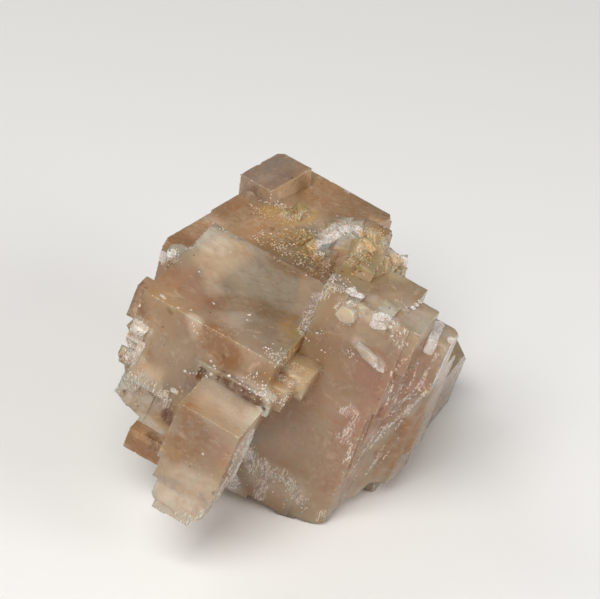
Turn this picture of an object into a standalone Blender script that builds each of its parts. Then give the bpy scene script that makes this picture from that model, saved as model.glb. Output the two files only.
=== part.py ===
"""A cluster of intergrown halite cubes: one solid, cut flat where it rests on a table.

Each crystal is a box that belongs to a family. The crystals of one family grew with their faces
parallel, so a family is one frame and its crystals are plain ranges along x (right), y (back) and
z (up), in millimetres. The boxes are joined, chipped, cut level at the bottom and centred.
"""

import math
import random

import bmesh
import bpy
from mathutils import Euler, Matrix, Vector

MM = 0.001
NODE = "halite_cluster"

# Origin in mm, then turn about z, nod about x and lean about y in degrees.
FAMILIES = {
    "broad": ((6.4, -28.0, 0.0), (-26.2, 0.0, 17.4)),
    "left": ((-1.82, -37.56, 43.05), (-22.5, -5.9, 18.4)),
    "prism": ((-8.21, -47.83, 34.52), (-23.3, -3.1, 20.4)),
    "upper": ((-2.97, -3.97, 42.42), (-33.6, -6.6, 11.0)),
    "summit": ((-3.22, 21.91, 42.79), (-41.0, -1.1, 4.7)),
    "foot": ((-12.0, -2.0, 0.0), (-31.0, 0.0, 3.0)),
}

# The crystals that give the cluster its outline.
CRYSTALS = {
    "broad": (
        ((-22.0, 0.2), (0.0, 14.0), (-0.9, 34.0)),
        ((-15.8, -0.8), (0.05, 12.6), (28.0, 51.4)),
        ((-22.0, -15.6), (0.1, 8.0), (-3.4, 5.0)),
        ((-16.0, -9.4), (0.15, 9.0), (-2.3, 5.0)),
        ((-9.6, -5.6), (0.08, 12.0), (-2.75, 5.0)),
        ((-14.0, 1.4), (0.2, 9.0), (30.0, 51.3)),
        ((-10.0, 3.4), (0.6, 9.1), (41.0, 51.25)),
        ((-12.0, 7.5), (6.8, 12.8), (34.0, 46.4)),
        ((-12.0, 7.3), (12.5, 19.0), (25.0, 37.3)),
        ((-14.0, 3.7), (13.6, 30.0), (-1.0, 27.0)),
        ((-14.0, 4.1), (28.0, 47.5), (-1.1, 16.0)),
        ((-12.0, 6.0), (12.2, 22.0), (5.0, 32.0)),
        ((-18.0, -3.6), (10.0, 21.2), (-1.0, 44.0)),
        ((-20.5, -6.0), (12.0, 31.0), (0.6, 23.0)),
        ((-5.4, -2.3), (-0.8, 3.6), (48.5, 52.3)),
        ((-14.0, -7.0), (-0.3, 2.0), (-1.6, 6.4)),
    ),
    "left": (
        ((-27.0, 0.0), (0.0, 30.5), (-10.5, 0.0)),
        ((-24.6, -0.1), (0.05, 30.0), (-18.6, -4.0)),
        ((-8.0, 3.6), (1.6, 12.0), (-9.8, -5.2)),
        ((-4.0, 5.4), (6.2, 14.0), (-8.6, -4.1)),
        ((-13.0, 2.2), (-0.8, 12.0), (-10.5, -6.9)),
        ((-20.0, -2.0), (2.0, 24.0), (-27.0, -15.0)),
        ((-25.4, -17.4), (4.8, 14.0), (-25.6, -16.0)),
        ((-30.4, -24.0), (7.2, 11.0), (-11.4, -4.4)),
        ((-22.2, -8.0), (8.0, 16.0), (-38.2, -33.6)),
        ((-20.6, -6.0), (11.0, 27.5), (-37.4, -30.0)),
    ),
    "prism": (
        ((-12.2, 0.0), (0.0, 12.2), (-13.0, 0.0)),
        ((-11.5, 0.05), (0.12, 12.0), (-17.6, -5.0)),
        ((-10.4, -0.3), (0.0, 10.0), (-22.0, -12.0)),
        ((-8.2, -2.0), (0.2, 9.0), (-23.7, -15.0)),
        ((-9.4, -6.6), (0.3, 6.0), (-24.1, -15.0)),
    ),
    "upper": (
        ((-17.7, 5.4), (-10.0, 34.2), (-20.0, 0.0)),
        ((-18.3, -8.0), (6.2, 30.0), (-16.0, -0.25)),
        ((-9.0, 5.1), (-5.0, 30.0), (-43.0, -15.0)),
        ((-3.4, -0.2), (11.4, 15.0), (-2.0, 0.9)),
    ),
    "summit": (((-5.0, 3.0), (-3.6, 8.0), (-6.0, 3.0)),),
    "foot": (
        ((-6.0, 9.0), (-9.0, 17.0), (-1.0, 34.0)),
        ((-8.5, 4.0), (3.0, 21.0), (-1.0, 22.0)),
    ),
}

# The right flank of the broad crystal climbs in thin growth steps: reach in x, then y and z.
FLANK_STEPS = (
    (0.55, (1.2, 9.0), (12.0, 30.0)),
    (0.95, (2.6, 9.0), (20.0, 36.0)),
    (0.9, (3.8, 11.0), (4.0, 17.0)),
    (2.1, (2.2, 9.0), (34.0, 44.0)),
    (1.5, (5.2, 12.0), (9.0, 26.0)),
    (2.6, (4.4, 11.0), (26.0, 40.0)),
    (2.3, (7.6, 13.0), (2.2, 14.0)),
    (3.1, (8.2, 13.6), (15.0, 31.0)),
    (4.6, (5.9, 12.0), (31.0, 42.0)),
    (4.7, (10.4, 14.0), (6.5, 21.0)),
    (5.6, (9.6, 13.0), (24.0, 35.0)),
    (7.1, (14.0, 20.0), (13.0, 27.0)),
    (5.0, (20.0, 27.0), (3.0, 21.0)),
    (4.7, (26.0, 34.0), (-0.6, 12.0)),
)

# Loose plates that settled on the broad crystal: middle x, z, turn in degrees, length, width, proud.
PLATES = (
    (-10.1, 48.4, 12.0, 5.0, 4.6, 1.4),
    (-9.9, 51.2, -35.0, 3.2, 2.2, 1.1),
    (-3.8, 42.3, 24.0, 7.4, 2.5, 0.9),
    (-13.7, 40.9, -18.0, 2.2, 1.0, 0.5),
)

# Corners knocked off: family, the corner, the way it faces, and how deep the break goes.
BREAKS = (
    ("left", (-24.6, 0.0, -18.6), (-1.0, -1.0, -1.0), 0.8),
    ("left", (-27.0, 13.0, 0.0), (-1.0, 0.1, 0.8), 0.6),
    ("left", (-27.0, 21.0, 0.0), (-1.0, -0.2, 1.0), 0.5),
    ("left", (0.0, 0.0, 0.0), (1.0, -1.0, 1.0), 0.4),
    ("prism", (0.0, 11.0, 0.0), (1.0, 1.0, 0.9), 0.4),
    ("prism", (-10.4, 0.0, -22.0), (-1.0, -0.6, -1.0), 0.7),
    ("prism", (-0.3, 0.0, -22.0), (1.0, -0.5, -1.0), 0.8),
    ("upper", (5.4, 34.3, 0.0), (1.0, 0.6, 0.4), 0.6),
    ("upper", (-17.7, -10.0, 0.0), (-1.0, -0.7, 0.5), 0.6),
    ("upper", (-17.7, 34.3, -20.0), (-1.0, 1.0, -1.0), 2.4),
    ("summit", (-5.0, 8.1, 3.0), (-1.0, 1.0, 1.0), 0.5),
    ("broad", (4.1, 47.6, 16.0), (1.0, 1.0, 1.0), 1.6),
    ("broad", (7.3, 19.1, 37.3), (1.0, 1.0, 1.0), 0.9),
    ("broad", (7.5, 12.9, 46.4), (1.0, 1.0, 1.0), 0.5),
    ("broad", (-14.0, 30.1, 27.0), (-1.0, 1.0, 1.0), 1.8),
    ("foot", (-6.0, -9.0, 34.0), (-1.0, -1.0, 1.0), 1.5),
)

# Grooves that part the prism from the crystals round it, as ranges in its frame.
GROOVES = (
    ((-12.9, 0.5), (10.9, 12.0), (-1.6, 1.4)),
    ((-13.6, -12.1), (3.4, 11.8), (-2.4, 1.2)),
)


def family_frame(name):
    origin, (turn, nod, lean) = FAMILIES[name]
    turned = Matrix.Rotation(math.radians(turn), 4, "Z") @ Matrix.Rotation(math.radians(nod), 4, "X")
    turned = turned @ Matrix.Rotation(math.radians(lean), 4, "Y")
    return Matrix.Translation(Vector(origin) * MM) @ turned


def add_solid(collection, points, frame):
    """The convex solid around some points, given in mm in the frame."""
    shape = bmesh.new()
    for point in points:
        shape.verts.new(frame @ (Vector(point) * MM))
    hull = bmesh.ops.convex_hull(shape, input=shape.verts)
    loose = [item for item in hull["geom_interior"] if isinstance(item, bmesh.types.BMVert)]
    bmesh.ops.delete(shape, geom=loose, context="VERTS")
    bmesh.ops.dissolve_limit(shape, angle_limit=0.001, verts=shape.verts, edges=shape.edges)
    bmesh.ops.recalc_face_normals(shape, faces=shape.faces)
    mesh = bpy.data.meshes.new(collection.name)
    shape.to_mesh(mesh)
    shape.free()
    solid = bpy.data.objects.new(collection.name, mesh)
    solid.hide_render = True
    solid.display_type = "WIRE"
    collection.objects.link(solid)
    return solid


def add_box(collection, family, x, y, z):
    corners = [(a, b, c) for a in x for b in y for c in z]
    return add_solid(collection, corners, family_frame(family))


def add_crystals(collection):
    chance = random.Random(3)
    for family, boxes in CRYSTALS.items():
        for x, y, z in boxes:
            # Hidden ends are shifted a little, so that no two crystals share a plane.
            y = (y[0], y[1] + chance.uniform(0.02, 0.2))
            add_box(collection, family, x, y, z)
    for reach, y, z in FLANK_STEPS:
        add_box(collection, "broad", (-6.0 - chance.random(), reach), y, z)


def add_small_cubes(collection):
    """Cubes of 2 to 8 mm that stand a little proud of the faces at the back and underneath."""
    chance = random.Random(11)
    hosts = (
        ("upper", (-16.0, 3.0), (30.5, 33.5), (-17.0, -4.0), 9),
        ("upper", (-8.0, 3.0), (26.5, 29.5), (-38.0, -20.0), 8),
        ("upper", (-17.3, -15.5), (8.0, 28.0), (-16.0, -6.0), 5),
        ("left", (-26.0, -24.0), (8.0, 26.0), (-16.0, -5.0), 4),
        ("left", (-24.0, -4.0), (4.0, 26.0), (-20.5, -18.0), 7),
        ("foot", (-6.0, 2.0), (15.5, 19.0), (5.0, 19.0), 6),
        ("foot", (-7.0, -5.0), (-4.0, 14.0), (4.0, 26.0), 5),
        ("broad", (-12.0, 1.0), (44.0, 46.5), (3.0, 12.0), 5),
        ("broad", (-12.0, 1.0), (28.0, 44.0), (13.5, 15.5), 5),
        ("broad", (-11.0, 0.0), (26.0, 29.0), (17.0, 24.0), 4),
    )
    for family, x, y, z, count in hosts:
        for _ in range(count):
            middle = [chance.uniform(*span) for span in (x, y, z)]
            half = [chance.uniform(1.2, 3.6) for _ in range(3)]
            add_box(collection, family, *[(m - h, m + h) for m, h in zip(middle, half)])


def add_plates(collection):
    chance = random.Random(5)
    frame = family_frame("broad")
    for x, z, turn, length, width, proud in PLATES:
        spin = Matrix.Translation(Vector((x, 0.0, z)) * MM) @ Matrix.Rotation(math.radians(turn), 4, "Y")
        outline = []
        for step in range(7):
            angle = math.tau * (step + chance.uniform(-0.25, 0.25)) / 7
            reach = chance.uniform(0.85, 1.05)
            outline.append((math.cos(angle) * length / 2 * reach, math.sin(angle) * width / 2 * reach))
        points = [(u, 1.5, v) for u, v in outline] + [(u * 0.8, -proud, v * 0.8) for u, v in outline]
        add_solid(collection, points, frame @ spin)


def add_shards(collection, family, x, y, z, count, size, seed):
    """Broken bits of crystal, each the hull of a few points, strewn through a region."""
    chance = random.Random(seed)
    for _ in range(count):
        middle = Vector([chance.uniform(*span) for span in (x, y, z)]) * MM
        turned = Euler([chance.uniform(-0.5, 0.5) for _ in range(3)]).to_matrix().to_4x4()
        radius = chance.uniform(*size)
        sides = [radius * chance.uniform(0.6, 1.2) for _ in range(3)]
        points = []
        for corner in range(8):
            signs = [1 if corner >> axis & 1 else -1 for axis in range(3)]
            points.append([s * side * chance.uniform(0.6, 1.0) for s, side in zip(signs, sides)])
        add_solid(collection, points, family_frame(family) @ Matrix.Translation(middle) @ turned)


def add_crust(collection):
    """The rough crust between the upper and the broad crystal, and the chunks on the left."""
    add_shards(collection, "upper", (0.6, 4.4), (10.5, 26.5), (-0.8, 1.0), 16, (1.4, 2.8), 21)
    add_shards(collection, "upper", (4.6, 7.0), (15.0, 28.0), (-7.5, -1.2), 16, (1.9, 3.2), 22)
    add_shards(collection, "broad", (-14.6, -8.0), (7.5, 14.0), (50.4, 52.0), 12, (1.4, 2.5), 23)
    add_shards(collection, "broad", (-12.6, -8.6), (13.0, 17.2), (44.0, 51.5), 18, (1.9, 3.0), 24)
    add_shards(collection, "left", (-25.2, -18.6), (3.4, 6.4), (-25.6, -20.0), 10, (1.8, 3.1), 25)
    add_shards(collection, "left", (-30.4, -27.2), (16.5, 19.5), (-4.0, -1.6), 5, (1.2, 1.9), 26)
    add_shards(collection, "left", (-26.6, -24.6), (0.6, 5.0), (-15.5, -8.5), 9, (1.1, 1.9), 27)
    add_shards(collection, "upper", (-8.2, -5.4), (15.5, 21.5), (-0.5, 0.2), 4, (1.2, 1.8), 28)
    add_shards(collection, "upper", (-7.5, 1.0), (7.0, 17.0), (-0.5, 0.0), 8, (0.5, 1.0), 29)


def add_breaks(collection):
    chance = random.Random(9)
    for family, corner, facing, depth in BREAKS:
        outward = Vector(facing).normalized()
        turned = outward.to_track_quat("Z", "Y").to_matrix().to_4x4()
        turned = turned @ Matrix.Rotation(chance.uniform(0.0, math.tau), 4, "Z")
        place = Matrix.Translation((Vector(corner) - outward * depth) * MM)
        half = depth * 1.7
        points = [(a, b, c) for a in (-half, half) for b in (-half, half) for c in (0.0, depth * 1.3)]
        add_solid(collection, points, family_frame(family) @ place @ turned)
    for x, y, z in GROOVES:
        add_box(collection, "prism", x, y, z)


def add_floor_cut(collection):
    corners = [(a, b, c) for a in (-90.0, 90.0) for b in (-90.0, 90.0) for c in (-40.0, 0.0)]
    add_solid(collection, corners, Matrix.Identity(4))


def make_collection(name):
    collection = bpy.data.collections.new(name)
    bpy.context.scene.collection.children.link(collection)
    return collection


def halite_material():
    material = bpy.data.materials.new("halite")
    material.use_nodes = True
    surface = material.node_tree.nodes["Principled BSDF"]
    surface.inputs["Base Color"].default_value = (0.39, 0.25, 0.17, 1.0)
    surface.inputs["Roughness"].default_value = 0.32
    surface.inputs["Metallic"].default_value = 0.0
    return material


def join_crystals(grown, broken):
    """The union of the grown solids less the broken ones, as one new mesh."""
    first = grown.objects[0]
    cluster = bpy.data.objects.new(NODE, first.data.copy())
    bpy.context.scene.collection.objects.link(cluster)
    bpy.data.objects.remove(first)
    for operation, collection in (("UNION", grown), ("DIFFERENCE", broken)):
        joint = cluster.modifiers.new(collection.name, "BOOLEAN")
        joint.operation = operation
        joint.operand_type = "COLLECTION"
        joint.collection = collection
        joint.solver = "EXACT"
    graph = bpy.context.evaluated_depsgraph_get()
    mesh = bpy.data.meshes.new_from_object(cluster.evaluated_get(graph))
    cluster.modifiers.clear()
    cluster.data = mesh
    return cluster


def shells(shape):
    """The vertices of each separate surface of the mesh, the largest surface first."""
    waiting = set(shape.verts)
    found = []
    while waiting:
        to_visit = [waiting.pop()]
        shell = set(to_visit)
        while to_visit:
            vertex = to_visit.pop()
            for edge in vertex.link_edges:
                other = edge.other_vert(vertex)
                if other in waiting:
                    waiting.remove(other)
                    shell.add(other)
                    to_visit.append(other)
        found.append(shell)
    return sorted(found, key=len, reverse=True)


def tidy_and_centre(cluster):
    """Drops the pockets shut in by overlaps and the shortest edges, then centres the base."""
    shape = bmesh.new()
    shape.from_mesh(cluster.data)
    for pocket in shells(shape)[1:]:
        bmesh.ops.delete(shape, geom=list(pocket), context="VERTS")
    bmesh.ops.dissolve_degenerate(shape, dist=0.004 * MM, edges=shape.edges)
    bmesh.ops.triangulate(shape, faces=shape.faces)
    for axis in range(3):
        spread = [vertex.co[axis] for vertex in shape.verts]
        middle = min(spread) if axis == 2 else (min(spread) + max(spread)) / 2
        for vertex in shape.verts:
            vertex.co[axis] -= middle
    shape.to_mesh(cluster.data)
    shape.free()


def build():
    for item in list(bpy.data.objects):
        bpy.data.objects.remove(item)
    grown = make_collection("grown")
    broken = make_collection("broken")
    add_crystals(grown)
    add_small_cubes(grown)
    add_plates(grown)
    add_crust(grown)
    add_breaks(broken)
    add_floor_cut(broken)
    cluster = join_crystals(grown, broken)
    tidy_and_centre(cluster)
    cluster.data.name = NODE
    cluster.data.materials.clear()
    cluster.data.materials.append(halite_material())
    for collection in (grown, broken):
        for helper in list(collection.objects):
            bpy.data.objects.remove(helper)
        bpy.data.collections.remove(collection)


build()
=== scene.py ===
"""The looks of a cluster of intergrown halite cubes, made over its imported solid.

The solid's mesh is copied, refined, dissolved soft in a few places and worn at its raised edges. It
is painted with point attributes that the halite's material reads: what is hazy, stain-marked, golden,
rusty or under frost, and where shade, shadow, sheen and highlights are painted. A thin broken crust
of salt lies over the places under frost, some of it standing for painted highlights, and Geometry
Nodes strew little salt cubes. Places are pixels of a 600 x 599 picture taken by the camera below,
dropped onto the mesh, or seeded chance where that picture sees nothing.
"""

import math
import random

import bmesh
import bpy
import numpy as np
from mathutils import Euler, Matrix, Vector, noise
from mathutils.bvhtree import BVHTree
from mathutils.kdtree import KDTree


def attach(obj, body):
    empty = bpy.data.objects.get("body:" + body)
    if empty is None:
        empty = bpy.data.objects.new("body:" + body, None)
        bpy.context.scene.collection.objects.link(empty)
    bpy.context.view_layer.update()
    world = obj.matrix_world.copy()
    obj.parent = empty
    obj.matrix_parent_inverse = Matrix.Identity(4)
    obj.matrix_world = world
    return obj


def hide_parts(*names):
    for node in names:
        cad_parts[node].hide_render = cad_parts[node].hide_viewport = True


MM = 0.001

# The camera of the picture: its size in pixels, how far it is, and how high it looks down from.
PICTURE_WIDTH = 600
PICTURE_HEIGHT = 599
CAMERA_DISTANCE = 600 * MM
CAMERA_HEIGHT = math.radians(33)
CAMERA_AIM = Vector((0.84, 14.0, 27.33)) * MM
METRES_PER_PIXEL = 0.19 * MM
SENSOR = 36.0
CLIP_START = 50 * MM

# The lamps: place in metres, size, power in watts and colour. All of them look at the same spot.
LAMP_AIM = Vector((0.0, 0.0, 0.03))
LAMPS = {
    "key": ((-0.14, -0.46, 0.70), 0.50, 5.9, (1.0, 0.985, 0.96)),
    "fill": ((0.60, -0.45, 0.40), 0.40, 2.7, (0.96, 0.98, 1.0)),
    "rim": ((-0.50, 0.30, 0.60), 0.40, 1.2, (1.0, 0.97, 0.93)),
}
WORLD_COLOUR = (0.90, 0.92, 0.95, 1.0)
WORLD_STRENGTH = 0.26
FLOOR_COLOUR = (0.80, 0.79, 0.77, 1.0)
FLOOR_ROUGHNESS = 0.8

# How each family of crystals is turned about z, nods about x and leans about y, in degrees, and how
# nearly a face has to look along a family's axis to belong to it.
FAMILIES = {
    "broad": (-26.2, 0.0, 17.4),
    "left": (-22.5, -5.9, 18.4),
    "prism": (-23.3, -3.1, 20.4),
    "upper": (-33.6, -6.6, 11.0),
    "summit": (-41.0, -1.1, 4.7),
    "foot": (-31.0, 0.0, 3.0),
}
BELONGS = math.cos(math.radians(1.2))

# Points closer than this are one. The longest triangle edges beside a crease and elsewhere, what
# counts as a crease, and what is shaded as a sharp edge. A step lower than the last shows no rim.
JOINED = 0.001 * MM
FINE_EDGE = 0.62 * MM
COARSE_EDGE = 1.3 * MM
CREASE = math.radians(20)
SHARP = math.radians(28)
TINY_STEP = 0.2 * MM

# How deep raised edges are worn and chipped, how finely that varies per mm, the noise above which
# they chip, and an offset that keeps the chips' noise apart from the wear's.
WEAR_DEPTH = 0.07 * MM
WEAR_SCALE = 0.45
CHIP_DEPTH = 0.35 * MM
CHIP_SCALE = 0.9
CHIP_START = 0.42
CHIP_OFFSET = Vector((7.0, 3.0, 1.0))

# The crust of frost and white salt, whose white bits in places are painted highlights and
# reflections: its longest triangle edge, the noise's scales along the broad crystal's axes, how
# high it lies at the least and how much higher where it is thick. Frost covers by its paint times
# noise and a strength, and white by its paint times the noise plus a share that makes it solid.
# The crust shows above a certain cover, and is looked for where its paints are more than a trace.
FROST_EDGE = 0.19 * MM
FEATHER_SCALES = (5.0, 5.0, 1.1)
FROST_LIFT = 0.02 * MM
FROST_THICKNESS = 0.06 * MM
FROST_STRENGTH = 0.86
WHITE_SOLID = 0.55
FROST_COVER = 0.5
TRACE = 0.05

# The salt grains: how close they lie where the crumbs are densest, how finely they clump, their
# sides, and the seed of their chance.
GRAINS_PER_SQUARE_METRE = 9.0e6
CLUMPS_PER_METRE = 450.0
GRAIN_SMALLEST = 0.08 * MM
GRAIN_LARGEST = 0.36 * MM
GRAIN_SEED = 5

# A stroke is dropped onto the mesh every so many pixels. Its width is how far from its path it has
# faded to half: it is full at half of that and gone at one and a half.
PIXEL_STEP = 4

# Where the crystals are dissolved to soft forms: width in mm, strength, rounds and pixels.
WORN_SMOOTH = (
    (5.5, 0.7, 40, (340, 505), (372, 470), (398, 432), (424, 400)),
    (2.6, 0.6, 20, (392, 400), (412, 372), (428, 350)),
    (1.0, 0.7, 12, (326, 371), (350, 384), (376, 399)),
    (1.3, 0.6, 15, (372, 404), (356, 442), (340, 482), (330, 512)),
    (2.2, 0.6, 16, (306, 366), (300, 382), (282, 388), (268, 396)),
)

# Strokes on the sides that the picture doesn't see: the seed of their chance, the spots in each, and
# the faces that take them, which look to the camera by less than the first share and down by less
# than the second.
HIDDEN_SEED = 12
HIDDEN_SPOTS = 9
TOWARDS_CAMERA = 0.05
DOWNWARDS = 0.7

# For each paint those strokes: how many, how long and wide in mm, and how strong.
HIDDEN_STROKES = {
    "haze_and_sheen": (16, 7.0, 3.5, 0.6),
    "amber": (16, 6.0, 3.5, 0.6),
    "umber_and_shadow": (12, 4.0, 0.8, 0.7),
    "slate": (4, 4.0, 2.0, 0.4),
    "ochre": (14, 3.0, 1.2, 0.7),
    "rust": (5, 1.0, 0.6, 0.7),
    "rose": (14, 6.0, 3.5, 0.6),
    "frost": (34, 7.0, 1.0, 0.9),
    "white": (22, 1.0, 0.4, 0.9),
    "crumbs": (22, 5.0, 1.0, 0.7),
}
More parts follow.
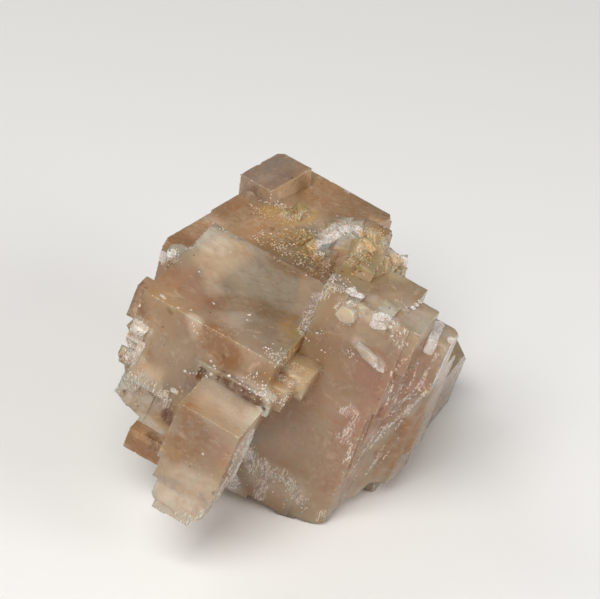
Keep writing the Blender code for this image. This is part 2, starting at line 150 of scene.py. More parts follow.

# What is painted on the crystals: for each paint its strokes, as width in mm, strength and the
# pixels of the picture that the stroke runs through. The crumbs are where salt grains stick. Some
# strokes are painted shadow, sheen, highlights and reflections, as marked below.
STROKES = {
    "haze_and_sheen": (
        # Painted sheen on the left crystal's top, near its corner.
        (4.5, 0.9, (207, 224), (203, 236), (214, 244)),
        (8.0, 0.55, (228, 252), (258, 272), (292, 290)),
        (6.0, 0.5, (240, 246), (270, 262), (302, 280)),
        (2.2, 0.5, (211, 276), (216, 295)),
        (3.2, 0.5, (245, 300), (230, 318)),
        (5.0, 0.3, (165, 320), (168, 350), (172, 375)),
        (4.5, 0.55, (222, 392), (240, 408), (248, 420)),
        (5.5, 0.8, (160, 500), (180, 512), (196, 518)),
        (3.5, 0.6, (185, 480), (205, 488)),
        (2.0, 0.9, (238, 384), (262, 394)),
        (2.0, 0.8, (138, 418), (150, 426), (162, 436)),
        (3.0, 0.6, (411, 313), (428, 322)),
        (1.4, 1.0, (356, 344), (366, 354), (378, 366)),
        (1.8, 0.9, (376, 302), (388, 308), (392, 322)),
        (2.2, 0.6, (400, 310), (416, 316)),
        (4.0, 0.6, (128, 380), (142, 385), (146, 398)),
        (3.0, 0.3, (262, 176), (285, 166)),
        (3.0, 0.35, (300, 505), (318, 515)),
        (4.0, 0.8, (122, 384), (136, 384), (148, 392)),
        (2.6, 1.0, (342, 312), (354, 314)),
        (3.0, 0.6, (298, 362), (306, 376), (290, 386)),
        (1.6, 1.0, (372, 318), (382, 320)),
        # Painted highlight just below the left crystal's top edge, on its front.
        (1.6, 0.8, (193, 318), (197, 334)),
        (2.5, 1.0, (134, 326), (137, 340), (134, 356)),
        (1.5, 1.0, (262, 412), (250, 432)),
        (4.0, 0.7, (262, 474), (290, 492)),
        (3.5, 0.9, (244, 440), (256, 420)),
        (3.5, 0.9, (244, 446), (236, 470), (222, 496)),
        (3.5, 0.8, (398, 256), (402, 266)),
        (3.5, 0.8, (320, 242), (344, 232), (364, 230)),
        (4.0, 0.5, (398, 304), (426, 322)),
        (3.0, 0.6, (432, 330), (452, 342), (444, 372)),
        (3.0, 0.3, (240, 440), (268, 450), (290, 430)),
    ),
    "amber": (
        (2.8, 0.65, (218, 303), (240, 303), (264, 309), (278, 316), (296, 322)),
        (9.0, 0.3, (160, 330), (172, 360), (190, 350)),
        (3.0, 0.9, (210, 338), (222, 345), (228, 356)),
        (2.4, 0.6, (268, 374), (280, 382)),
        (2.2, 0.5, (168, 266), (172, 286)),
        (2.6, 0.45, (146, 304), (156, 324)),
        (3.2, 0.7, (186, 416), (192, 428), (198, 440), (176, 448)),
        (3.4, 0.9, (134, 440), (146, 452), (152, 464)),
        (2.0, 0.5, (131, 360), (136, 368)),
        (5.0, 0.9, (398, 452), (418, 425), (440, 400)),
        (3.5, 0.45, (372, 478), (392, 462)),
        (8.0, 0.7, (232, 212), (252, 228), (275, 240)),
        (5.0, 0.9, (178, 236), (192, 224)),
        (8.0, 0.7, (325, 190), (350, 204), (372, 216)),
        (4.0, 0.8, (285, 262), (300, 270)),
        (3.0, 0.5, (312, 262), (332, 262)),
        (12.0, 0.35, (300, 400), (320, 440), (300, 480)),
        (3.0, 0.35, (382, 290), (412, 292)),
    ),
    "umber_and_shadow": (
        (1.2, 0.4, (186, 392), (196, 378), (204, 372)),
        (1.3, 0.8, (222, 378), (240, 390), (258, 401)),
        (2.0, 0.7, (138, 288), (140, 310)),
        # The next two are painted shadow: the dark gap behind the left crystal's top back edge.
        (2.0, 0.5, (300, 262), (322, 272), (338, 270)),
        (2.0, 0.25, (272, 250), (296, 264)),
        (0.35, 1.0, (224, 355)),
        (0.35, 0.9, (297, 352)),
        (0.35, 0.9, (279, 340)),
        (0.3, 0.8, (277, 283)),
        (0.3, 0.7, (207, 242)),
        (0.4, 0.9, (291, 178), (294, 183)),
        (0.3, 0.8, (317, 467)),
        (0.3, 0.7, (285, 427)),
        (0.6, 0.7, (214, 494), (222, 482)),
        (1.4, 0.7, (152, 436), (156, 446)),
        (0.3, 0.8, (168, 308), (170, 312)),
    ),
    "slate": (
        (1.5, 0.6, (163, 480), (174, 484)),
        (1.3, 0.6, (203, 503), (201, 497)),
        (3.2, 0.8, (250, 190), (262, 196)),
        (5.0, 0.8, (262, 176), (284, 166)),
        (4.5, 0.35, (320, 335), (350, 340), (390, 345)),
        (1.0, 0.3, (205, 440), (212, 443)),
    ),
    "ochre": (
        (2.2, 0.8, (290, 326), (296, 334)),
        (1.4, 0.6, (164, 449), (176, 455)),
        (1.2, 0.8, (158, 418), (165, 424)),
        (1.5, 0.6, (176, 408), (184, 396)),
        (2.6, 0.9, (272, 212), (286, 218), (306, 214)),
        (2.4, 0.8, (292, 232), (308, 238), (306, 246)),
        (3.0, 0.5, (268, 242), (296, 256), (318, 268)),
        (3.2, 0.9, (350, 268), (362, 258), (372, 240)),
        (3.2, 0.6, (388, 262), (402, 270)),
        (1.2, 0.8, (318, 262), (320, 270)),
        (0.8, 0.8, (331, 262), (334, 270)),
        (2.0, 0.4, (344, 312), (352, 314)),
        (0.6, 0.7, (392, 289), (397, 301), (402, 315)),
        (1.6, 0.5, (378, 304), (390, 300)),
        (8.0, 0.3, (232, 262), (270, 285), (300, 302)),
        (5.0, 0.35, (160, 300), (150, 320), (150, 340)),
        (4.0, 0.6, (356, 268), (380, 262)),
        (1.8, 0.6, (272, 376), (276, 386)),
        (3.0, 0.6, (292, 350), (304, 366), (296, 384)),
    ),
    "rust": (
        (1.2, 1.0, (167, 414), (168, 420)),
        (0.35, 1.0, (198, 461)),
        (0.8, 0.7, (318, 268), (322, 271)),
        (0.7, 0.5, (127, 300), (128, 318)),
        (0.7, 0.6, (334, 264)),
        (0.8, 0.5, (280, 378), (284, 382)),
    ),
    "rose": (
        (4.0, 0.6, (188, 280), (206, 298)),
        (4.0, 0.5, (218, 444), (232, 456)),
        (6.5, 0.9, (384, 378), (402, 390), (384, 412), (366, 430)),
        (4.0, 0.6, (420, 350), (440, 366)),
        (4.0, 0.5, (330, 480), (342, 462), (352, 478)),
        (3.0, 0.4, (448, 330), (452, 350)),
        (3.0, 0.5, (232, 480), (244, 488)),
    ),
    "frost": (
        (2.0, 1.0, (132, 326), (136, 340), (133, 356)),
        (1.4, 0.8, (140, 322), (146, 330)),
        (1.6, 0.9, (323, 290), (313, 310), (303, 331)),
        (1.6, 0.9, (252, 468), (264, 463), (268, 472), (262, 484), (258, 497)),
        (1.5, 0.8, (268, 472), (283, 474), (290, 484), (299, 499)),
        (1.1, 0.85, (343, 412), (352, 408), (357, 416), (350, 428), (343, 440)),
        (1.0, 0.8, (340, 436), (348, 442), (354, 450), (346, 462)),
        (0.6, 1.0, (392, 374), (391, 388), (386, 404)),
        (0.5, 1.0, (437, 354), (429, 368), (420, 385)),
        (0.7, 1.0, (420, 385), (409, 398), (396, 404)),
        (0.5, 1.0, (426, 392), (415, 404), (406, 412)),
        (0.7, 1.0, (406, 412), (398, 419), (385, 428)),
        (0.5, 1.0, (385, 428), (377, 439), (370, 448)),
        (0.5, 0.9, (408, 405), (404, 417), (396, 428)),
        (0.4, 0.9, (408, 356), (399, 366), (391, 375)),
        (0.4, 0.9, (418, 359), (414, 376), (408, 388)),
        (0.4, 0.9, (403, 384), (397, 396), (390, 412)),
        (0.5, 0.9, (384, 446), (376, 460), (366, 474)),
        (0.5, 0.9, (374, 436), (362, 454), (350, 474)),
        (0.4, 0.9, (366, 432), (356, 446), (350, 456)),
        (0.4, 0.9, (360, 470), (350, 486), (342, 498)),
        (0.4, 0.8, (412, 366), (402, 384), (394, 398)),
        (0.3, 0.9, (430, 384), (418, 398), (410, 408)),
        (0.4, 0.8, (398, 438), (388, 452), (378, 466)),
        (1.2, 0.8, (332, 286), (343, 290)),
        (1.8, 0.6, (275, 357), (298, 368)),
        (0.8, 0.9, (266, 394), (274, 399)),
        (1.2, 0.9, (282, 378), (290, 384)),
        (2.6, 1.0, (247, 440), (246, 452), (236, 470), (226, 488)),
        (1.2, 1.0, (222, 486), (214, 504)),
        (0.8, 0.7, (252, 426), (244, 440)),
        (1.4, 1.0, (164, 395), (165, 404)),
        (2.6, 0.7, (126, 378), (140, 380), (150, 392)),
        (2.0, 0.7, (316, 243), (334, 232), (352, 230)),
        (1.6, 0.7, (350, 262), (362, 250), (372, 240)),
        (1.0, 0.8, (282, 214), (294, 218), (306, 213)),
        (1.4, 0.8, (364, 229), (376, 234), (383, 242)),
        (1.8, 0.7, (392, 252), (402, 260), (404, 270)),
        (1.4, 0.5, (398, 302), (408, 312)),
        (2.2, 0.7, (163, 258), (172, 254)),
        (2.0, 0.6, (178, 520), (196, 514)),
        (1.4, 0.6, (152, 500), (160, 512)),
        (0.5, 0.8, (192, 320), (194, 326), (197, 334)),
        (1.0, 0.7, (318, 519), (324, 512)),
        (1.0, 0.6, (405, 330), (399, 345)),
        (0.35, 1.0, (335, 308), (340, 303), (350, 302), (359, 307), (360, 316)),
        (0.35, 0.9, (358, 321), (350, 325), (340, 323)),
    ),
    "white": (
        # Painted reflection: the bright strip on a right-facing step of the flank.
        (1.0, 1.0, (441, 321), (434, 336), (429, 350)),
        (0.9, 1.0, (138, 324), (144, 328)),
        (1.0, 0.9, (312, 247), (324, 240), (336, 236)),
        (0.9, 0.9, (342, 230), (356, 229), (362, 234)),
        (0.7, 0.9, (366, 240), (372, 250)),
        (1.1, 0.9, (394, 256), (403, 262), (404, 272)),
        (1.2, 1.0, (162, 256), (170, 253)),
        (1.8, 0.72, (250, 436), (246, 452), (238, 468), (228, 486)),
        (1.0, 1.0, (131, 338), (140, 344), (134, 354)),
        # Painted reflection: another bright right-facing strip of the flank.
        (1.1, 1.0, (453, 341), (446, 356), (436, 378)),
        (0.8, 1.0, (373, 317), (381, 317)),
        (0.8, 1.0, (374, 325), (382, 326)),
        (0.6, 0.6, (387, 316), (393, 322), (390, 326)),
        (1.2, 0.8, (352, 292), (359, 294)),
        # The next three are painted highlights: white specks near the left crystal's top front edge.
        (0.45, 1.0, (162, 296), (164, 298)),
        (0.28, 1.0, (178, 308)),
        (0.25, 1.0, (191, 310)),
        (0.25, 0.9, (230, 252)),
        (0.22, 0.9, (199, 272)),
        (0.3, 1.0, (185, 371)),
        (0.18, 0.9, (190, 373), (204, 373)),
        (0.25, 1.0, (211, 361), (214, 366)),
        (0.35, 1.0, (211, 374)),
        (0.35, 1.0, (229, 376)),
        (0.5, 1.0, (173, 390), (176, 392)),
        (0.2, 0.9, (203, 454)),
        (0.2, 0.9, (317, 333), (322, 331)),
        (0.3, 0.9, (350, 349)),
        (0.25, 0.9, (356, 355)),
        (0.5, 0.9, (379, 369), (382, 370)),
        (0.5, 0.8, (413, 308), (420, 302)),
        (0.22, 0.8, (248, 315), (247, 320)),
        (0.4, 0.9, (316, 273), (311, 270)),
        (0.25, 0.9, (352, 274)),
        (0.3, 0.8, (381, 427), (378, 432)),
        (0.35, 0.8, (232, 470), (226, 478)),
        (0.2, 0.9, (306, 338), (315, 346), (325, 352)),
        (0.2, 0.8, (213, 303), (214, 304)),
        (0.2, 0.8, (250, 315)),
        (0.22, 0.9, (303, 368)),
        (0.2, 0.8, (240, 384)),
    ),
    "crumbs": (
        (3.0, 0.6, (264, 208), (286, 212), (306, 226), (302, 246)),
        (2.4, 0.8, (268, 240), (286, 248), (312, 257)),
        (1.6, 0.7, (304, 262), (330, 272), (345, 284)),
        (0.5, 0.5, (212, 224), (250, 244), (288, 264), (322, 282)),
        (1.4, 0.4, (303, 250), (322, 240), (346, 228)),
        (2.0, 0.4, (374, 230), (388, 248), (404, 266)),
        (2.2, 0.4, (352, 268), (368, 250)),
        (0.8, 0.5, (183, 371), (212, 374), (240, 388), (262, 402)),
        (1.2, 0.7, (173, 390), (165, 402)),
        (1.0, 0.7, (330, 288), (344, 290)),
        (1.3, 0.7, (392, 332), (404, 344)),
        (0.6, 1.0, (350, 348), (354, 356)),
        (0.8, 1.0, (377, 367), (383, 370)),
        (0.9, 0.9, (386, 316), (395, 326)),
        (1.2, 0.4, (162, 252), (172, 260)),
        (1.3, 0.6, (134, 324), (138, 352)),
        (0.9, 0.6, (238, 448), (226, 480), (216, 500)),
        (3.0, 0.25, (252, 470), (272, 480), (300, 500)),
        (3.4, 0.25, (126, 384), (148, 388)),
        (1.4, 0.6, (262, 388), (288, 398)),
        (0.8, 0.6, (323, 290), (312, 312), (301, 333)),
        (1.6, 0.3, (400, 390), (412, 400), (392, 416), (380, 436)),
        (2.0, 0.3, (270, 352), (296, 366), (300, 380)),
        (0.5, 0.7, (240, 194), (262, 200)),
        (0.8, 0.5, (230, 380), (262, 372)),
    ),
}


def camera_turn():
    return Euler((math.pi / 2 - CAMERA_HEIGHT, 0.0, 0.0)).to_matrix()


def camera_place():
    return CAMERA_AIM + camera_turn() @ Vector((0.0, 0.0, CAMERA_DISTANCE))


def add_camera():
    data = bpy.data.cameras.new("camera")
    data.sensor_width = SENSOR
    data.lens = SENSOR * CAMERA_DISTANCE / (PICTURE_WIDTH * METRES_PER_PIXEL)
    data.clip_start = CLIP_START
    camera = bpy.data.objects.new("camera", data)
    camera.matrix_world = Matrix.Translation(camera_place()) @ camera_turn().to_4x4()
    bpy.context.scene.collection.objects.link(camera)
    bpy.context.scene.camera = camera


def pixel_ray(pixel):
    """Where the ray through a pixel of the picture starts, and its direction."""
    across = (pixel[0] - PICTURE_WIDTH / 2) * METRES_PER_PIXEL
    up = (PICTURE_HEIGHT / 2 - pixel[1]) * METRES_PER_PIXEL
    return camera_place(), (camera_turn() @ Vector((across, up, -CAMERA_DISTANCE))).normalized()


def merged_copy(node):
    """The solid's points and triangles, with its loose triangles joined."""
    shape = bmesh.new()
    shape.from_mesh(node.data)
    bmesh.ops.remove_doubles(shape, verts=shape.verts, dist=JOINED)
    points = np.array([vertex.co for vertex in shape.verts])
    faces = np.array([[vertex.index for vertex in face.verts] for face in shape.faces])
    shape.free()
    return points, faces


def edge_table(faces):
    """Each edge once as two point numbers, and for each triangle the rows of its three edges."""
    ends = np.sort(faces[:, [[0, 1], [1, 2], [2, 0]]], axis=2).reshape(-1, 2)
    edges, rows = np.unique(ends, axis=0, return_inverse=True)
    return edges, rows.reshape(-1, 3)


def facings(points, faces):
    """The unit normal of each triangle."""
    a, b, c = (points[faces[:, corner]] for corner in range(3))
    cross = np.cross(b - a, c - a)
    return cross / np.maximum(np.linalg.norm(cross, axis=1, keepdims=True), 1e-18)


def gathered(rows, vectors, count):
    """The sum of the triangles' vectors over each row that they share."""
    spread = np.repeat(vectors, 3, axis=0)
    return np.stack([np.bincount(rows.ravel(), spread[:, axis], count) for axis in range(3)], axis=1)


def crease_angles(points, faces, rows, edges):
    """The angle in radians between the two triangles at each edge, negative where it is hollow."""
    total = gathered(rows, facings(points, faces), len(edges))
    angles = 2 * np.arccos(np.clip(np.linalg.norm(total, axis=1) / 2, 0.0, 1.0))
    centres = gathered(rows, points[faces].mean(axis=1), len(edges)) / 2
    outward = ((points[edges].mean(axis=1) - centres) * total).sum(axis=1)
    return np.where(outward >= 0.0, angles, -angles)


def refine(points, faces, near_crease, elsewhere):
    """Bisects triangles across their longest edge until no edge is longer than its limit."""
    while True:
        edges, rows = edge_table(faces)
        lengths = np.linalg.norm(points[edges[:, 0]] - points[edges[:, 1]], axis=1)
        longest = lengths[rows].argmax(axis=1)
        longest_row = rows[np.arange(len(rows)), longest]
        sharp = (np.abs(crease_angles(points, faces, rows, edges)) > CREASE)[rows].any(axis=1)
        too_long = lengths[longest_row] > np.where(sharp, near_crease, elsewhere)
        if not too_long.any():
            return points, faces
        split = np.zeros(len(edges), bool)
        split[longest_row[too_long]] = True
        while True:
            spread = longest_row[split[rows].any(axis=1)]
            if split[spread].all():
                break
            split[spread] = True
        middle = np.full(len(edges), -1)
        middle[split] = len(points) + np.arange(split.sum())
        points = np.concatenate([points, points[edges[split]].mean(axis=1)])
        faces = bisected(faces, middle[rows], longest)


def bisected(faces, middles, longest):
    """The triangles cut at their edges' new middle points, the longest edge first."""
    turn = (longest[:, None] + np.arange(3)) % 3
    a, b, c = np.take_along_axis(faces, turn, axis=1).T
    ab, bc, ca = np.take_along_axis(middles, turn, axis=1).T
    cut = ab >= 0
    left = cut & (ca >= 0)
    right = cut & (bc >= 0)
    pieces = (
        (faces.T, ~cut),
        ((a, ab, c), cut & ~left),
        ((a, ab, ca), left),
        ((ca, ab, c), left),
        ((ab, b, c), cut & ~right),
        ((ab, b, bc), right),
        ((ab, bc, c), right),
    )
    return np.concatenate([np.stack(corners, axis=1)[chosen] for corners, chosen in pieces])


def point_normals(points, faces):
    total = gathered(faces, facings(points, faces), len(points))
    return total / np.maximum(np.linalg.norm(total, axis=1, keepdims=True), 1e-9)


def rims(points, faces):
    """For each point 1 on a raised edge, -1 in a hollow one, and 0 elsewhere or on a tiny step."""
    edges, rows = edge_table(faces)
    angles = crease_angles(points, faces, rows, edges)
    rim = np.zeros(len(points))
    rim[edges[angles < -CREASE]] = -1.0
    rim[edges[angles > CREASE]] = 1.0
    raised = np.flatnonzero(rim > 0)
    hollow = KDTree(len(points))
    for point in np.flatnonzero(rim < 0):
        hollow.insert(points[point], point)
    hollow.balance()
    for point in raised:
        _, near, distance = hollow.find(points[point])
        if distance < TINY_STEP:
            rim[[point, near]] = 0.0
    return rim


def wear(points, faces, rim):
    """Rounds and chips the raised edges a little, unevenly."""
    normals = point_normals(points, faces)
    worn = points.copy()
    for point in np.flatnonzero(rim > 0):
        place = Vector(points[point]) / MM
        uneven = 0.6 + 0.8 * noise.noise(place * WEAR_SCALE)
        chip = max(0.0, noise.noise(place * CHIP_SCALE + CHIP_OFFSET) - CHIP_START) / 0.3
        worn[point] -= normals[point] * (WEAR_DEPTH * uneven + CHIP_DEPTH * chip)
    return worn


def family_turn(name):
    """The axes of a family of crystals, as the columns of a matrix."""
    turn, nod, lean = (math.radians(angle) for angle in FAMILIES[name])
    turned = Matrix.Rotation(turn, 3, "Z") @ Matrix.Rotation(nod, 3, "X") @ Matrix.Rotation(lean, 3, "Y")
    return np.array(turned)


def crystal_grain(points, faces):
    """Each face corner's place in mm along its crystal's axes, and which faces belong to none."""
    normals = facings(points, faces)
    best = np.full(len(faces), BELONGS)
    grain = points[faces] / MM
    for name in FAMILIES:
        turned = family_turn(name)
        match = np.abs(normals @ turned).max(axis=1)
        closer = match > best
        best[closer] = match[closer]
        grain[closer] = (points[faces[closer]] / MM) @ turned
    return grain.reshape(-1, 3), best == BELONGS


def seen_path(tree, pixels):
    """The points that the camera sees along a stroke, a few pixels apart."""
    path = []
    for (x0, y0), (x1, y1) in zip(pixels, pixels[1:] or pixels):
        count = max(1, round(math.hypot(x1 - x0, y1 - y0) / PIXEL_STEP))
        for share in np.linspace(0.0, 1.0, count + 1):
            start, direction = pixel_ray((x0 + (x1 - x0) * share, y0 + (y1 - y0) * share))
            spot = tree.ray_cast(start, direction)[0]
            if spot:
                path.append(np.array(spot))
    return path


def hidden_paths(tree, count, length, points, faces, chance):
    """Strokes along the broad crystal's edges, on faces that the camera doesn't see."""
    normals = facings(points, faces)
    away = np.array(camera_turn() @ Vector((0.0, 0.0, 1.0)))
    hidden = np.flatnonzero((normals @ away < TOWARDS_CAMERA) & (normals[:, 2] > -DOWNWARDS))
    turned = family_turn("broad")
    for face in chance.sample(list(hidden), count):
        middle = points[faces[face]].mean(axis=0)
        along = turned[:, chance.choice((0, 1, 2, 2))] * length * MM
        spots = [middle + along * share for share in np.linspace(-0.5, 0.5, HIDDEN_SPOTS)]
        nearest = [tree.find_nearest(Vector(spot)) for spot in spots]
        yield [np.array(spot) for spot, facing, *_ in nearest if np.dot(facing, away) < TOWARDS_CAMERA]


def brushed(points, path, width):
    """How much of a soft stroke along a path each point takes, from 0 to 1."""
    taken = np.zeros(len(points))
    if not path:
        return taken
    reach = 1.5 * width * MM
    low = np.min(path, axis=0) - reach
    high = np.max(path, axis=0) + reach
    close = ((points > low) & (points < high)).all(axis=1)
    around = points[close]
    nearest = np.full(len(around), np.inf)
    for spot in path:
        nearest = np.minimum(nearest, ((around - spot) ** 2).sum(axis=1))
    share = np.clip(1.5 - np.sqrt(nearest) / (width * MM), 0.0, 1.0)
    taken[close] = share * share * (3 - 2 * share)
    return taken


def stroke_marks(points, faces):
    """For each paint its strokes on the crystals, as path, width and strength."""
    chance = random.Random(HIDDEN_SEED)
    tree = BVHTree.FromPolygons(points.tolist(), faces.tolist())
    marks = {}
    for paint, strokes in STROKES.items():
        count, length, width, strength = HIDDEN_STROKES[paint]
        marks[paint] = [(seen_path(tree, pixels), w, s) for w, s, *pixels in strokes]
        for path in hidden_paths(tree, count, length, points, faces, chance):
            marks[paint].append((path, width, strength))
    return marks


def painted(points, marks):
    """How strong a paint is at each point."""
    layer = np.zeros(len(points))
    for path, width, strength in marks:
        layer = np.maximum(layer, strength * brushed(points, path, width))
    return layer


def softened(points, faces, share, rounds):
    """The points drawn towards their neighbours, each by its share, over and over."""
    edges = edge_table(faces)[0]
    ends = np.concatenate([edges, edges[:, ::-1]])
    ends = ends[share[ends[:, 0]] > 0.0]
    moved, rows = np.unique(ends[:, 0], return_inverse=True)
    count = np.bincount(rows)[:, None]
    points = points.copy()
    for _ in range(rounds):
        other = points[ends[:, 1]]
        middle = np.stack([np.bincount(rows, other[:, axis]) for axis in range(3)], axis=1) / count
        points[moved] += (middle - points[moved]) * share[moved, None]
    return points


def dissolved(points, faces):
    """The points after the places that are worn smooth have been softened."""
    tree = BVHTree.FromPolygons(points.tolist(), faces.tolist())
    for width, strength, rounds, *pixels in WORN_SMOOTH:
        share = strength * brushed(points, seen_path(tree, pixels), width)
        points = softened(points, faces, share, rounds)
    return points


def as_piece(name, mesh):
    piece = bpy.data.objects.new(name, mesh)
    bpy.context.scene.collection.objects.link(piece)
    return piece


def as_mesh(name, points, faces):
    mesh = bpy.data.meshes.new(name)
    mesh.from_pydata(points.tolist(), [], faces.tolist())
    mesh.shade_smooth()
    mesh.set_sharp_from_angle(angle=SHARP)
    return mesh


def add_attribute(mesh, name, kind, domain, values):
    attribute = mesh.attributes.new(name, kind, domain)
    field = "vector" if kind == "FLOAT_VECTOR" else "value"
    attribute.data.foreach_set(field, np.asarray(values, np.float32).ravel())


def make_crystals(points, faces, marks, grain, crust):
    """The worn crystals, with the attributes that their material reads."""
    rim = rims(points, faces)
    mesh = as_mesh("crystals", wear(points, faces, rim), faces)
    add_attribute(mesh, "grain", "FLOAT_VECTOR", "CORNER", grain)
    add_attribute(mesh, "crust", "FLOAT", "FACE", crust)
    add_attribute(mesh, "rim", "FLOAT", "POINT", rim)
    for paint in marks:
        add_attribute(mesh, paint, "FLOAT", "POINT", painted(points, marks[paint]))
    return as_piece("crystals", mesh)


def feathered(points):
    """Noise around a half at each point, drawn out along the upright edges of the broad crystal."""
    drawn = (points / MM) @ family_turn("broad") * np.array(FEATHER_SCALES)
    return np.array([0.5 + 0.6 * noise.fractal(Vector(spot), 0.8, 2.2, 5) for spot in drawn])


def make_frost_and_highlight_bits(points, faces, marks):
    """A thin broken crust of white salt where frost and white are painted, finer than the crystals'
    mesh; some of its white bits are painted highlights and reflections.
    """
    near = np.maximum(painted(points, marks["frost"]), painted(points, marks["white"])) > TRACE
    used, faces = np.unique(faces[near[faces].any(axis=1)], return_inverse=True)
    points, faces = refine(points[used], faces.reshape(-1, 3), FROST_EDGE, FROST_EDGE)
    uneven = feathered(points)
    frost = painted(points, marks["frost"]) * uneven * FROST_STRENGTH
    white = painted(points, marks["white"]) * (WHITE_SOLID + uneven)
    cover = np.maximum(frost, white)
    height = FROST_LIFT + FROST_THICKNESS * np.minimum(cover, 1.0)
    lifted = points + point_normals(points, faces) * height[:, None]
    mesh = as_mesh("frost", lifted, faces[cover[faces].mean(axis=1) > FROST_COVER])
    add_attribute(mesh, "ochre", "FLOAT", "POINT", painted(points, marks["ochre"]))
    return as_piece("frost", mesh)


def srgb(red, green, blue):
    """A colour given as 0 to 255 on screen, in the linear values of a shader."""
    shares = [value / 255 for value in (red, green, blue)]
    return [s / 12.92 if s <= 0.04045 else ((s + 0.055) / 1.055) ** 2.4 for s in shares] + [1.0]


# The colours of the bare salt, of what shows on it and of the small salt that lies on it, and how
# its inside bends and tints the light. Among them are painted shade, a painted edge highlight and
# painted glints.
SALT_GOLDEN = srgb(221, 191, 153)
SALT_PALE = srgb(233, 213, 182)
SALT_VEILED = srgb(244, 230, 208)
SALT_BROWN = srgb(198, 152, 112)
# Painted shade: the dark colour laid into hollow edges.
HOLLOW_PAINTED_SHADE = srgb(104, 70, 44)
DARK_SPECKS = srgb(96, 62, 42)
# Small specks: pale inclusions and painted glints.
PALE_SPECKS_AND_GLINTS = srgb(255, 250, 244)
# The white of frost, also used for the painted highlight along raised edges.
FROST_AND_EDGE_HIGHLIGHT_WHITE = srgb(250, 246, 240)
CRUST_DULL = srgb(214, 200, 186)
CRUST_BRIGHT = srgb(250, 248, 246)
GRAIN_DULL = srgb(206, 184, 160)
GRAIN_BRIGHT = srgb(248, 244, 238)
GOLDEN_STAIN = srgb(214, 172, 98)
SALT_IOR = 1.544
INSIDE_COLOUR = (0.78, 0.56, 0.31, 1.0)
INSIDE_DENSITY = 50.0

# Each paint's colour and the most that it covers.
PAINTS = {
    "rose": (srgb(226, 166, 142), 0.7),
    "haze_and_sheen": (srgb(242, 231, 214), 0.9),
    "slate": (srgb(168, 158, 156), 0.7),
    "amber": (srgb(200, 146, 86), 0.8),
    "umber_and_shadow": (srgb(120, 74, 42), 0.85),
    "ochre": (srgb(234, 198, 120), 0.75),
    "rust": (srgb(130, 48, 24), 0.95),
}


class NodeSheet:
    """Adds the nodes of one material and wires them by their input names."""

    def __init__(self, name):
        self.material = bpy.data.materials.new(name)
        self.material.use_nodes = True
        self.nodes = self.material.node_tree.nodes
        self.links = self.material.node_tree.links
        self.surface = self.nodes["Principled BSDF"]
        self.output = self.nodes["Material Output"]

    def wire(self, node, inputs):
        for name, value in inputs.items():
            socket = node.inputs[name]
            if isinstance(value, bpy.types.NodeSocket):
                self.links.new(value, socket)
            else:
                socket.default_value = value

    def add(self, kind, inputs=None, output=0, **settings):
        node = self.nodes.new("ShaderNode" + kind)
        for name, value in settings.items():
            setattr(node, name, value)
        self.wire(node, inputs or {})
        return node.outputs[output]

    def place(self):
        """The shaded point's place in mm."""
        metres = self.add("TexCoord", output="Object")
        return self.add("VectorMath", {0: metres, "Scale": 1 / MM}, operation="SCALE")

    def attribute(self, name, output="Fac"):
        return self.add("Attribute", output=output, attribute_name=name)

    def math(self, operation, first, second=0.0):
        return self.add("Math", {0: first, 1: second}, operation=operation)

    def mix(self, share, first, second):
        inputs = {"Factor": share, 6: first, 7: second}
        return self.add("Mix", inputs, output=2, data_type="RGBA", clamp_factor=True)

    def ramp(self, value, start, end, low=0.0, high=1.0):
        """A smooth step from low at start to high at end."""
        inputs = {"Value": value, "From Min": start, "From Max": end, "To Min": low, "To Max": high}
        return self.add("MapRange", inputs, interpolation_type="SMOOTHSTEP")

    def noise(self, place, scale, detail=3.0, roughness=0.55, distortion=0.0):
        inputs = {
            "Vector": place,
            "Scale": scale,
            "Detail": detail,
            "Roughness": roughness,
            "Distortion": distortion,
        }
        return self.add("TexNoise", inputs)

    def drawn_out(self, place, scales, detail, roughness, distortion=0.0):
        """Noise with a scale of its own along each axis."""
        mapped = self.add("Mapping", {"Vector": place, "Scale": scales})
        return self.noise(mapped, 1.0, detail, roughness, distortion)

    def specks(self, place, scale, fewest, radius):
        """Small dots, in the share of cells whose chance is above fewest."""
        cell = self.nodes.new("ShaderNodeTexVoronoi")
        self.wire(cell, {"Vector": place, "Scale": scale})
        chance = self.add("SeparateColor", {"Color": cell.outputs["Color"]})
        dot = self.ramp(cell.outputs["Distance"], radius, radius * 0.5)
        return self.math("MULTIPLY", self.math("GREATER_THAN", chance, fewest), dot)


def bare_colour(sheet, place, mottle, veils):
    """The salt's own colour: golden in clouds, with pale veils and brown mottling."""
    clouds = sheet.noise(place, 0.09, detail=3.0, roughness=0.55, distortion=0.8)
    colour = sheet.mix(sheet.ramp(clouds, 0.35, 0.65), SALT_GOLDEN, SALT_PALE)
    colour = sheet.mix(sheet.math("MULTIPLY", veils, 0.5), colour, SALT_VEILED)
    return sheet.mix(sheet.ramp(mottle, 0.5, 0.25, 0.0, 0.45), colour, SALT_BROWN)


def stains_and_shade(sheet, place, colour, fuzz, rim):
    """The colour under its paints, each laid unevenly, some painted shadow and sheen, and painted shade
    darkening hollow edges.
    """
    blotch = sheet.noise(place, 0.7, detail=4.0, roughness=0.7, distortion=0.8)
    uneven = sheet.ramp(blotch, 0.3, 0.7, 0.4, 1.1)
    uneven = sheet.math("ADD", uneven, sheet.ramp(fuzz, 0.3, 0.7, -0.1, 0.2))
    for paint, (tint, most) in PAINTS.items():
        share = sheet.math("MULTIPLY", sheet.attribute(paint), uneven)
        colour = sheet.mix(sheet.ramp(share, 0.05, 0.9, 0.0, most), colour, tint)
    # Painted shade: hollow edges are darkened.
    hollow = sheet.ramp(sheet.math("MULTIPLY", rim, -1.0), 0.3, 1.0, 0.0, 0.2)
    return sheet.mix(hollow, colour, HOLLOW_PAINTED_SHADE)


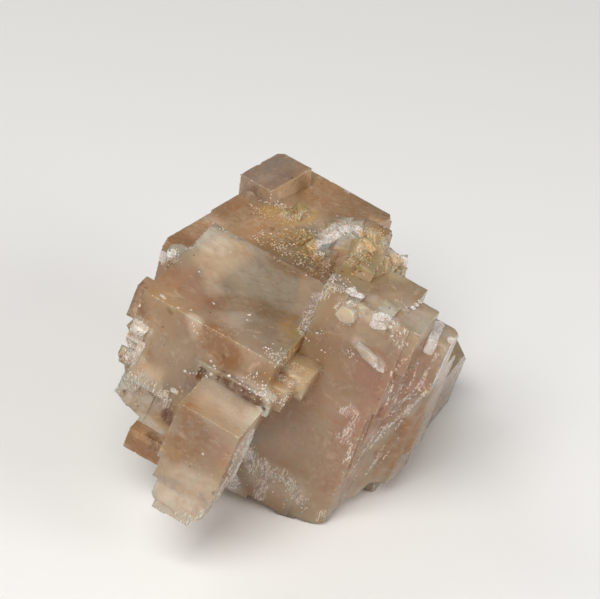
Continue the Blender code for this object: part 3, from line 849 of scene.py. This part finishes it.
def frost_and_edge_highlight_share(sheet, grain, fuzz, rim):
    """How much the salt is whitened: feathery where frost is painted, and in bits along raised edges as
    a painted highlight.
    """
    wisps = sheet.drawn_out(grain, (1.7, 1.7, 0.32), 5.0, 0.72, 1.4)
    feathers = sheet.drawn_out(grain, (4.5, 4.5, 0.8), 4.0, 0.6, 0.6)
    veil = sheet.ramp(wisps, 0.35, 0.65, 0.2, 0.65)
    veil = sheet.math("ADD", veil, sheet.ramp(feathers, 0.54, 0.62, 0.0, 0.6))
    frosting = sheet.math("MULTIPLY", sheet.attribute("frost"), veil)
    # Painted highlight: bits of the raised edges lit white.
    bits = sheet.ramp(fuzz, 0.42, 0.68, 0.0, 0.55)
    lit_rim = sheet.math("MULTIPLY", sheet.ramp(rim, 0.35, 0.95), bits)
    return sheet.math("MAXIMUM", sheet.ramp(frosting, 0.05, 1.0, 0.0, 0.9), lit_rim)


def clear_share(sheet, mottle, veils, frost_and_edge_highlight):
    """How much light goes through: least where the salt is hazy, veiled or painted with sheen, under
    frost, and under the painted highlight along raised edges.
    """
    hazy = sheet.math("MULTIPLY", sheet.attribute("haze_and_sheen"), sheet.ramp(mottle, 0.3, 0.7, 0.3, 0.5))
    cloudy = sheet.math("MAXIMUM", hazy, sheet.math("MULTIPLY", veils, 0.3))
    cloudy = sheet.math("MAXIMUM", cloudy, frost_and_edge_highlight)
    return sheet.ramp(cloudy, 0.0, 0.9, 0.70, 0.20)


def relief(sheet, place, grain, fuzz):
    """Growth lines along the crystal's axes, a fine grain, and rough frost and crust."""
    lines_across = sheet.drawn_out(grain, (0.04, 0.04, 1.6), 3.0, 0.65)
    lines_up = sheet.drawn_out(grain, (1.6, 1.6, 0.04), 3.0, 0.65)
    height = sheet.math("MULTIPLY", sheet.math("ADD", lines_across, lines_up), 0.05)
    height = sheet.math("ADD", height, sheet.math("MULTIPLY", fuzz, 0.03))
    crust = sheet.math("MULTIPLY", sheet.attribute("crust"), 0.7)
    broken = sheet.math("MAXIMUM", sheet.attribute("frost"), crust)
    rugged = sheet.noise(place, 3.6, detail=3.0, roughness=0.7)
    rugged = sheet.math("MULTIPLY", rugged, broken)
    height = sheet.math("ADD", height, sheet.math("MULTIPLY", rugged, 0.22))
    return sheet.add("Bump", {"Strength": 1.0, "Distance": 1.0 * MM, "Height": height})


def halite():
    """Cloudy rock salt: see-through in part, mottled, marked by stains and frost, and finely lined,
    with painted shade, shadow, sheen, highlights and glints among its colours.
    """
    sheet = NodeSheet("halite")
    place = sheet.place()
    grain = sheet.attribute("grain", "Vector")
    rim = sheet.attribute("rim")
    mottle = sheet.noise(place, 0.35, detail=5.0, roughness=0.62, distortion=0.6)
    fuzz = sheet.noise(place, 1.4, detail=4.0, roughness=0.7)
    veils = sheet.noise(place, 0.30, detail=5.0, roughness=0.66, distortion=1.3)
    veils = sheet.ramp(veils, 0.5, 0.72)
    frost_and_edge_highlight = frost_and_edge_highlight_share(sheet, grain, fuzz, rim)

    colour = bare_colour(sheet, place, mottle, veils)
    colour = stains_and_shade(sheet, place, colour, fuzz, rim)
    # Frost and the painted edge highlight whiten the colour.
    colour = sheet.mix(sheet.math("MULTIPLY", frost_and_edge_highlight, 0.85), colour, FROST_AND_EDGE_HIGHLIGHT_WHITE)
    # Pale specks: pale inclusions and painted glints.
    colour = sheet.mix(sheet.specks(place, 1.3, 0.8, 0.2), colour, PALE_SPECKS_AND_GLINTS)
    colour = sheet.mix(sheet.specks(place, 0.6, 0.88, 0.13), colour, DARK_SPECKS)
    rough = sheet.ramp(mottle, 0.3, 0.7, 0.08, 0.20)
    rough = sheet.math("ADD", rough, sheet.math("MULTIPLY", frost_and_edge_highlight, 0.3))
    inputs = {
        "Base Color": colour,
        "Roughness": rough,
        "Normal": relief(sheet, place, grain, fuzz),
        "IOR": SALT_IOR,
        "Transmission Weight": clear_share(sheet, mottle, veils, frost_and_edge_highlight),
        "Subsurface Weight": 1.0,
        "Subsurface Radius": (1.0, 0.62, 0.42),
        "Subsurface Scale": 4.0 * MM,
    }
    sheet.wire(sheet.surface, inputs)
    absorbing = sheet.add("VolumeAbsorption", {"Color": INSIDE_COLOUR, "Density": INSIDE_DENSITY})
    sheet.wire(sheet.output, {"Volume": absorbing})
    return sheet.material


def salt(name, dull, bright):
    """Small clean salt: white, or golden where the stain runs."""
    sheet = NodeSheet(name)
    place = sheet.place()
    tone = sheet.noise(place, 0.9, detail=5.0, roughness=0.7)
    colour = sheet.mix(sheet.ramp(tone, 0.35, 0.65), dull, bright)
    golden = sheet.ramp(sheet.attribute("ochre"), 0.1, 0.8, 0.0, 0.8)
    height = sheet.noise(place, 4.0, detail=5.0, roughness=0.75)
    inputs = {
        "Base Color": sheet.mix(golden, colour, GOLDEN_STAIN),
        "Roughness": sheet.ramp(sheet.noise(place, 3.0), 0.3, 0.7, 0.12, 0.4),
        "Normal": sheet.add("Bump", {"Strength": 0.8, "Distance": 0.15 * MM, "Height": height}),
        "IOR": SALT_IOR,
        "Transmission Weight": 0.3,
    }
    sheet.wire(sheet.surface, inputs)
    return sheet.material


def grain_nodes():
    """The node tree that strews little cubes where the crumbs are painted."""
    tree = bpy.data.node_groups.new("salt grains", "GeometryNodeTree")
    tree.interface.new_socket("Geometry", in_out="OUTPUT", socket_type="NodeSocketGeometry")
    kinds = {
        "Geometry": "Geometry",
        "Per square metre": "Float",
        "Clumps per metre": "Float",
        "Smallest": "Vector",
        "Largest": "Vector",
        "Seed": "Int",
        "Material": "Material",
    }
    for name, kind in kinds.items():
        tree.interface.new_socket(name, in_out="INPUT", socket_type="NodeSocket" + kind)

    def add(kind, inputs, output=0, **settings):
        node = tree.nodes.new(kind)
        for name, value in settings.items():
            setattr(node, name, value)
        for name, value in inputs.items():
            if isinstance(value, bpy.types.NodeSocket):
                tree.links.new(value, node.inputs[name])
            else:
                node.inputs[name].default_value = value
        return node.outputs[output]

    given = tree.nodes.new("NodeGroupInput").outputs
    crumbs = add("GeometryNodeInputNamedAttribute", {"Name": "crumbs"}, data_type="FLOAT")
    clumps = add("ShaderNodeTexNoise", {"Scale": given["Clumps per metre"], "Detail": 3.0})
    clumped = add("ShaderNodeMapRange", {"Value": clumps, "From Min": 0.42, "From Max": 0.68})
    share = add("ShaderNodeMath", {0: crumbs, 1: clumped}, operation="MULTIPLY")
    density = add("ShaderNodeMath", {0: share, 1: given["Per square metre"]}, operation="MULTIPLY")
    spots = {"Mesh": given["Geometry"], "Density": density, "Seed": given["Seed"]}
    points = add("GeometryNodeDistributePointsOnFaces", spots, "Points")
    sizes = {0: given["Smallest"], 1: given["Largest"], "Seed": given["Seed"]}
    size = add("FunctionNodeRandomValue", sizes, data_type="FLOAT_VECTOR")
    turns = {0: (0.0, 0.0, 0.0), 1: (math.tau, math.tau, math.tau), "Seed": given["Seed"]}
    turn = add("FunctionNodeRandomValue", turns, data_type="FLOAT_VECTOR")
    cube = add("GeometryNodeMeshCube", {"Size": (1.0, 1.0, 1.0)})
    placed = {"Points": points, "Instance": cube, "Rotation": turn, "Scale": size}
    cubes = add("GeometryNodeInstanceOnPoints", placed)
    real = add("GeometryNodeRealizeInstances", {"Geometry": cubes})
    finished = add("GeometryNodeSetMaterial", {"Geometry": real, "Material": given["Material"]})
    tree.links.new(finished, tree.nodes.new("NodeGroupOutput").inputs["Geometry"])
    return tree


def make_grains(crystals):
    """Little salt cubes stuck to the crystals where the crumbs are painted."""
    piece = as_piece("salt_grains", crystals.data)
    modifier = piece.modifiers.new("salt grains", "NODES")
    modifier.node_group = grain_nodes()
    inputs = {
        "Per square metre": GRAINS_PER_SQUARE_METRE,
        "Clumps per metre": CLUMPS_PER_METRE,
        "Smallest": (GRAIN_SMALLEST,) * 3,
        "Largest": (GRAIN_LARGEST,) * 3,
        "Seed": GRAIN_SEED,
        "Material": salt("salt grains", GRAIN_DULL, GRAIN_BRIGHT),
    }
    for item in modifier.node_group.interface.items_tree:
        if item.name in inputs:
            modifier[item.identifier] = inputs[item.name]
    evaluated = piece.evaluated_get(bpy.context.evaluated_depsgraph_get())
    mesh = bpy.data.meshes.new_from_object(evaluated)
    piece.modifiers.clear()
    piece.data = mesh
    return piece


def add_floor():
    bpy.ops.mesh.primitive_plane_add(size=3.0, location=(0.0, 0.6, 0.0))
    floor = bpy.context.object
    floor.name = "floor"
    material = bpy.data.materials.new("floor")
    material.use_nodes = True
    surface = material.node_tree.nodes["Principled BSDF"]
    surface.inputs["Base Color"].default_value = FLOOR_COLOUR
    surface.inputs["Roughness"].default_value = FLOOR_ROUGHNESS
    floor.data.materials.append(material)


def add_lamp(name, place, size, power, colour):
    data = bpy.data.lights.new(name, "AREA")
    data.shape = "SQUARE"
    data.size = size
    data.energy = power
    data.color = colour
    lamp = bpy.data.objects.new(name, data)
    lamp.location = place
    lamp.rotation_euler = (LAMP_AIM - Vector(place)).to_track_quat("-Z", "Y").to_euler()
    bpy.context.scene.collection.objects.link(lamp)


def add_lights():
    bpy.context.scene.view_settings.view_transform = "Standard"
    world = bpy.data.worlds.new("studio")
    bpy.context.scene.world = world
    world.use_nodes = True
    background = world.node_tree.nodes["Background"]
    background.inputs["Color"].default_value = WORLD_COLOUR
    background.inputs["Strength"].default_value = WORLD_STRENGTH
    for name, settings in LAMPS.items():
        add_lamp(name, *settings)


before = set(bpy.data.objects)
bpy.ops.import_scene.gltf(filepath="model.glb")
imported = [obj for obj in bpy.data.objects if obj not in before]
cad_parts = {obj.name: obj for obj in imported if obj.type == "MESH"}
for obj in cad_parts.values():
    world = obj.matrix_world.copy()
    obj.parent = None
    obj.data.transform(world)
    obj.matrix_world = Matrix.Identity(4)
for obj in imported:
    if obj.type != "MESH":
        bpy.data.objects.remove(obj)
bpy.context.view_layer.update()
add_camera()
points, faces = merged_copy(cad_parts["halite_cluster"])
points, faces = refine(points, faces, FINE_EDGE, COARSE_EDGE)
grain, crust = crystal_grain(points, faces)
points = dissolved(points, faces)
marks = stroke_marks(points, faces)
crystals = make_crystals(points, faces, marks, grain, crust)
crystals.data.materials.append(halite())
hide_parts("halite_cluster")
# The frost crust also carries the painted highlights and reflections laid in white.
frost = make_frost_and_highlight_bits(points, faces, marks)
frost.data.materials.append(salt("frost", CRUST_DULL, CRUST_BRIGHT))
grains = make_grains(crystals)
for piece in (crystals, frost, grains):
    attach(piece, "root")
add_floor()
add_lights()
